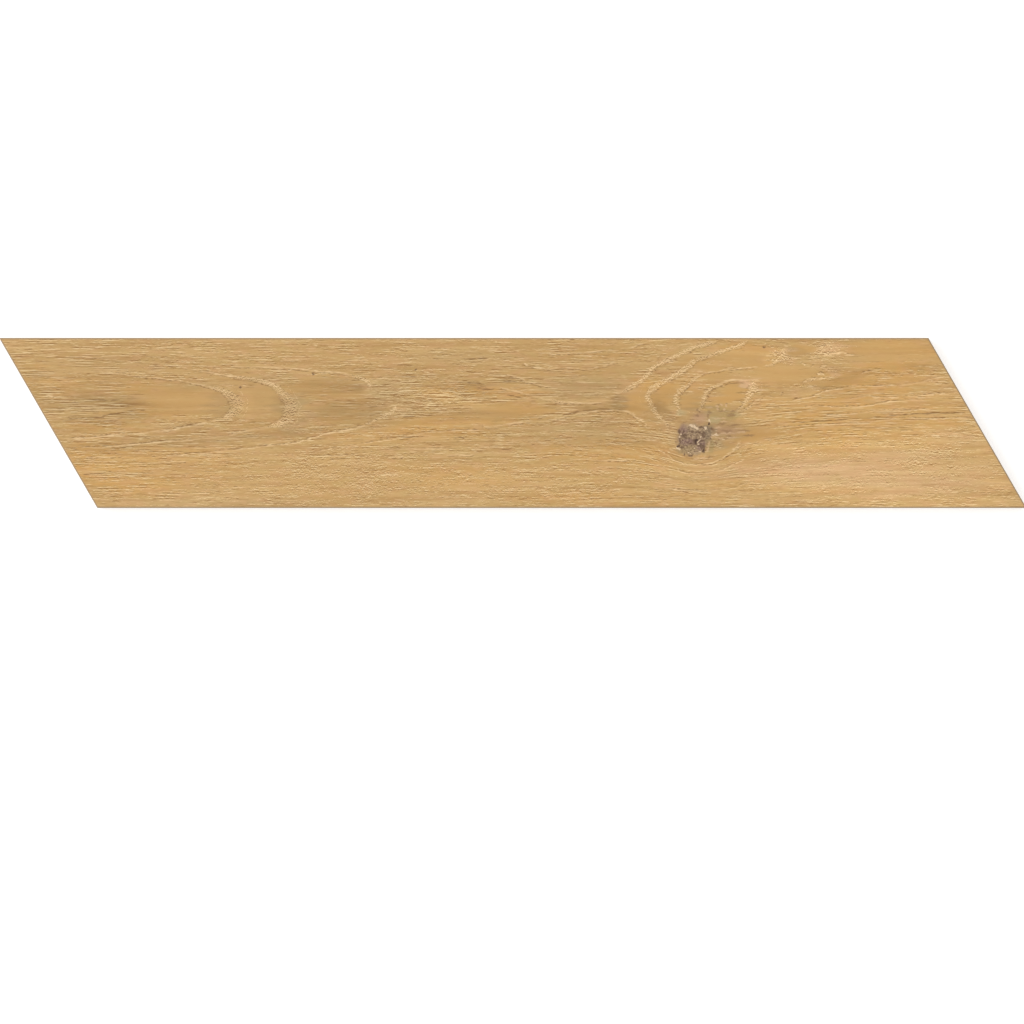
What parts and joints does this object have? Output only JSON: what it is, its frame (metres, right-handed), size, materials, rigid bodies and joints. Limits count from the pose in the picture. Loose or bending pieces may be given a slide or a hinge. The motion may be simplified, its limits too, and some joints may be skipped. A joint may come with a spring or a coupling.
{
  "type": "chevron wall tile",
  "caption": "Slender parallelogram porcelain wall tile for chevron laying, with slanted end cuts, finely bevelled face edges, an oak-look matt face and a waffle key pressed into its back.",
  "frame": {"origin": "middle of the tile's underside, on the plane of the rib tops that it rests on", "axes": "+X along the long edges towards the end whose point lies at -Y, +Y across the tile, +Z out of the decorated face"},
  "size_m": [0.45, 0.0746, 0.009],
  "materials": {
    "oak_print_porcelain": "matte"
  },
  "bodies": {
    "root": {"tile": "oak_print_porcelain"}
  },
  "joints": []
}
